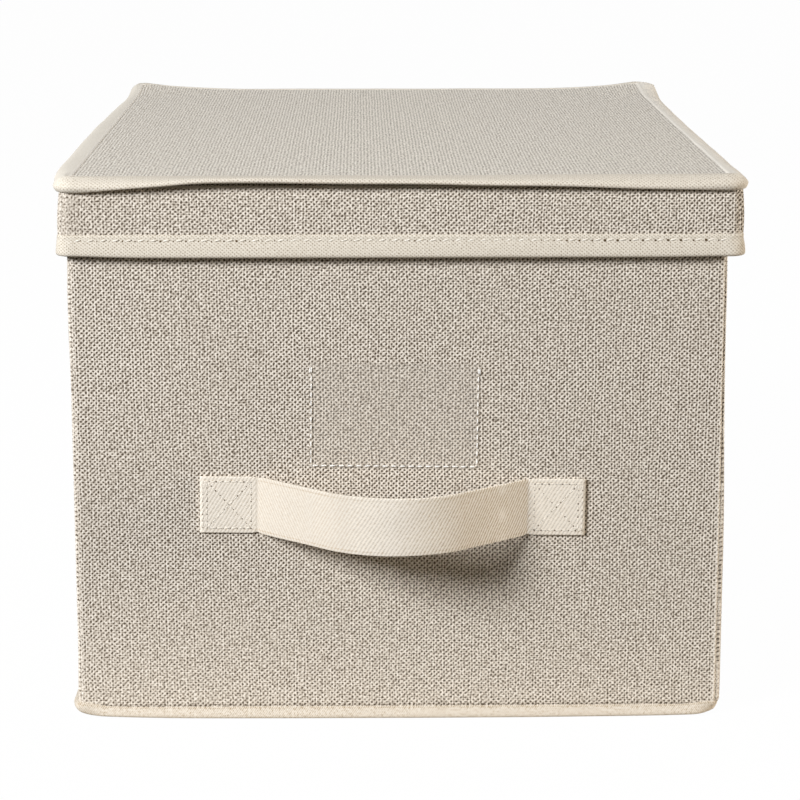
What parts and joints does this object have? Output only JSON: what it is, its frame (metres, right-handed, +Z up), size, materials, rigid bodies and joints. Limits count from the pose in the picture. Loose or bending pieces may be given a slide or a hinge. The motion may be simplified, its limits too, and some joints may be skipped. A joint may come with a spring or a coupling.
{
  "type": "fabric storage box with lid",
  "caption": "Rectangular cloth-covered board storage box with a lift-off lid, bound edges, a webbing pull handle, a clear label pocket and a loose base board.",
  "frame": {"origin": "centre of the box plan, on the surface that the base seam stands on", "axes": "+Z up, -Y towards the face with the handle, +X to the right of a person who faces the handle"},
  "size_m": [0.4048, 0.5705, 0.3297],
  "materials": {
    "cover_cloth": "coarse woven cloth with slubs, matte",
    "binding_tape": "fine twill tape, matte",
    "webbing": "twill cotton webbing, matte",
    "greyboard": "plain grey board",
    "lining_cloth": "thin non-woven lining",
    "clear_film": "clear flexible film",
    "thread": "sewing thread"
  },
  "bodies": {
    "box": {"back_board": "greyboard", "back_cover": "cover_cloth", "back_lining": "lining_cloth", "base_binding": "binding_tape", "base_cover": "cover_cloth", "front_board": "greyboard", "front_cover": "cover_cloth", "front_lining": "lining_cloth", "handle_end_left": "webbing", "handle_end_right": "webbing", "handle_thread": "thread", "label_pocket": "clear_film", "left_board": "greyboard", "left_cover": "cover_cloth", "left_lining": "lining_cloth", "pocket_thread": "thread", "right_board": "greyboard", "right_cover": "cover_cloth", "right_lining": "lining_cloth"},
    "lid": {"lid_back_board": "greyboard", "lid_back_cover": "cover_cloth", "lid_edge_binding": "binding_tape", "lid_front_board": "greyboard", "lid_front_cover": "cover_cloth", "lid_hem_binding": "binding_tape", "lid_hem_thread": "thread", "lid_left_board": "greyboard", "lid_left_cover": "cover_cloth", "lid_right_board": "greyboard", "lid_right_cover": "cover_cloth", "lid_skirt_lining": "lining_cloth", "lid_top_board": "greyboard", "lid_top_cover": "cover_cloth", "lid_top_lining": "lining_cloth"},
    "insert": {"insert_board": "greyboard", "insert_wrap": "lining_cloth"},
    "handle": {"handle_grip": "webbing"}
  },
  "joints": [
    {"name": "lid_lift", "type": "slide", "parent": "box", "child": "lid", "axis": [0, 0, 1], "range_m": [0, 0.12]},
    {"name": "insert_lift", "type": "slide", "parent": "box", "child": "insert", "axis": [0, 0, 1], "range_m": [0, 0.25]},
    {"name": "handle_swing", "type": "hinge", "parent": "box", "child": "handle", "pos_m": [-0.0035, -0.26957, 0.131], "axis": [0.9999, 0, -0.0113], "range_deg": [-35, 35], "stiffness_Nm_per_rad": 0.12}
  ]
}
